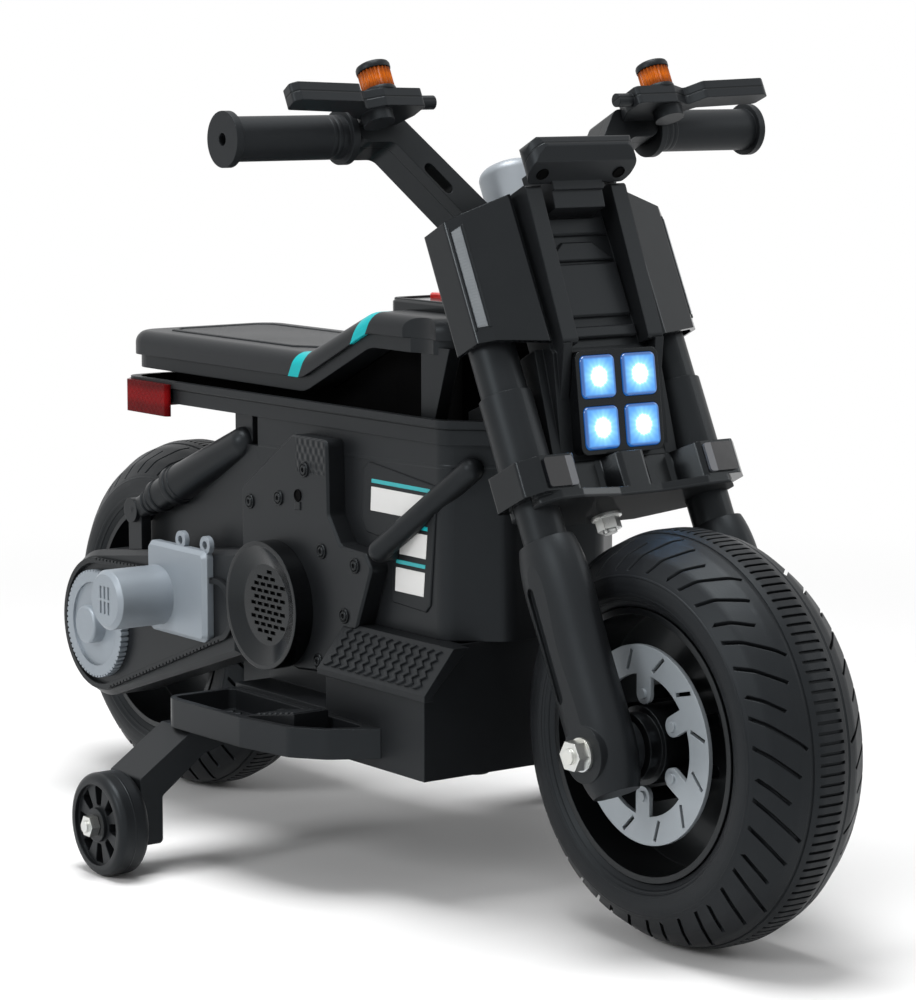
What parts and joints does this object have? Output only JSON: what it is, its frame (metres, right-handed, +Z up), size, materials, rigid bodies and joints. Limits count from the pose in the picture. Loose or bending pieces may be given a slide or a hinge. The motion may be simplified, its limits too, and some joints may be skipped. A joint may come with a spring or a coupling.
{
  "type": "kids electric motorbike",
  "caption": "Battery ride-on motorbike for a small child: chunky tyres, raked fork with turning handlebar, moulded seat, side drive casing, footrests, pedal and stabilisers.",
  "frame": {"origin": "on the ground under the middle of the wheelbase, in the middle plane", "axes": "+X forward, +Y to the rider's left, +Z up"},
  "size_m": [0.832, 0.4476, 0.5452],
  "materials": {
    "tyre_rubber": "matt moulded, satin on the tread",
    "gloss_black": "gloss",
    "satin_black": "satin, fine grain",
    "silver_plastic": "silver paint, satin",
    "zinc_steel": "zinc plated",
    "grip_rubber": "matt",
    "clear_lamp": "clear, lit blue-white",
    "amber_lamp": "clear amber",
    "red_lamp": "clear red",
    "red_button": "gloss",
    "natural_nylon": "natural nylon",
    "pinion_brass": "machined",
    "motor_steel": "plain",
    "inner_plastic": "plain"
  },
  "bodies": {
    "chassis": {"tank_console": "gloss_black", "speaker_horns": "gloss_black", "top_tray": "satin_black", "body_shells": "satin_black", "lower_chassis": "satin_black", "head_tube": "satin_black", "seat_pad": "satin_black", "seat_base": "satin_black", "side_plates": "satin_black", "frame_struts": "satin_black", "shocks": "satin_black", "gearbox_plate": "satin_black", "drive_cover": "satin_black", "swingarm_left": "satin_black", "toothed_belt": "satin_black", "footrests": "satin_black", "stabiliser_brackets": "satin_black", "motor_cover": "silver_plastic", "belt_pulley": "silver_plastic", "rear_axle": "zinc_steel", "stabiliser_bolts": "zinc_steel", "body_screws": "zinc_steel", "tail_light": "red_lamp", "head_bushes": "natural_nylon", "drive_motor": "motor_steel", "battery": "inner_plastic", "control_box": "inner_plastic", "pedal_switch": "inner_plastic", "loudspeaker": "inner_plastic"},
    "steering": {"fork_legs": "satin_black", "fork_tubes": "satin_black", "lower_yoke": "gloss_black", "upper_yoke": "satin_black", "marker_lenses": "clear_lamp", "steering_stem": "zinc_steel", "stem_cap": "silver_plastic", "front_axle": "zinc_steel", "headlight_bezel": "gloss_black", "headlight_lenses": "clear_lamp", "front_shroud": "satin_black", "shoulder_covers": "gloss_black", "dash_housing": "satin_black", "risers": "satin_black", "grips": "grip_rubber", "lever_brackets": "satin_black", "turn_lamps": "amber_lamp"},
    "front_wheel": {"front_tyre": "tyre_rubber", "front_rim": "gloss_black", "front_discs": "silver_plastic"},
    "rear_wheel": {"rear_tyre": "tyre_rubber", "rear_rim": "gloss_black", "drive_gear": "natural_nylon"},
    "reduction_gear": {"reduction_gear": "natural_nylon"},
    "motor_pinion": {"motor_pinion": "pinion_brass"},
    "stabiliser_wheel_right": {"stabiliser_wheel_right": "satin_black"},
    "stabiliser_wheel_left": {"stabiliser_wheel_left": "satin_black"},
    "accelerator_pedal": {"accelerator_pedal": "satin_black"},
    "start_button": {"start_button": "red_button"},
    "direction_button": {"direction_button": "red_button"}
  },
  "joints": [
    {"name": "steering_turn", "type": "hinge", "parent": "chassis", "child": "steering", "pos_m": [0.26802, 0, 0.12123], "axis": [-0.4384, 0, 0.8988], "range_deg": [-25, 25]},
    {"name": "front_wheel_spin", "type": "hinge", "parent": "steering", "child": "front_wheel", "pos_m": [0.286, 0, 0.13], "axis": [0, 1, 0], "continuous": true},
    {"name": "rear_wheel_spin", "type": "hinge", "parent": "chassis", "child": "rear_wheel", "pos_m": [-0.286, 0, 0.13], "axis": [0, 1, 0], "continuous": true},
    {"name": "reduction_gear_spin", "type": "hinge", "parent": "chassis", "child": "reduction_gear", "pos_m": [-0.23052, -0.07, 0.13927], "axis": [0, 1, 0], "continuous": true},
    {"name": "motor_pinion_spin", "type": "hinge", "parent": "chassis", "child": "motor_pinion", "pos_m": [-0.19, -0.08, 0.165], "axis": [0, 1, 0], "continuous": true},
    {"name": "stabiliser_right_spin", "type": "hinge", "parent": "chassis", "child": "stabiliser_wheel_right", "pos_m": [-0.0765, -0.2035, 0.035], "axis": [0, 1, 0], "continuous": true},
    {"name": "stabiliser_left_spin", "type": "hinge", "parent": "chassis", "child": "stabiliser_wheel_left", "pos_m": [-0.0765, 0.2035, 0.035], "axis": [0, 1, 0], "continuous": true},
    {"name": "accelerator_press", "type": "hinge", "parent": "chassis", "child": "accelerator_pedal", "pos_m": [-0.014, -0.1205, 0.1061], "axis": [0, 1, 0], "range_deg": [0, 7], "stiffness_Nm_per_rad": 0.4, "springref_deg": -8.59},
    {"name": "start_press", "type": "slide", "parent": "chassis", "child": "start_button", "axis": [0, 0, -1], "range_m": [0, 0.0018], "stiffness_N_per_m": 300, "springref_m": -0.001},
    {"name": "direction_press", "type": "slide", "parent": "chassis", "child": "direction_button", "axis": [0, 0, -1], "range_m": [0, 0.0018], "stiffness_N_per_m": 300, "springref_m": -0.001}
  ],
  "couplings": [
    {"joint": "reduction_gear_spin", "follows": "rear_wheel_spin", "ratio": -4},
    {"joint": "motor_pinion_spin", "follows": "rear_wheel_spin", "ratio": 17.333}
  ]
}
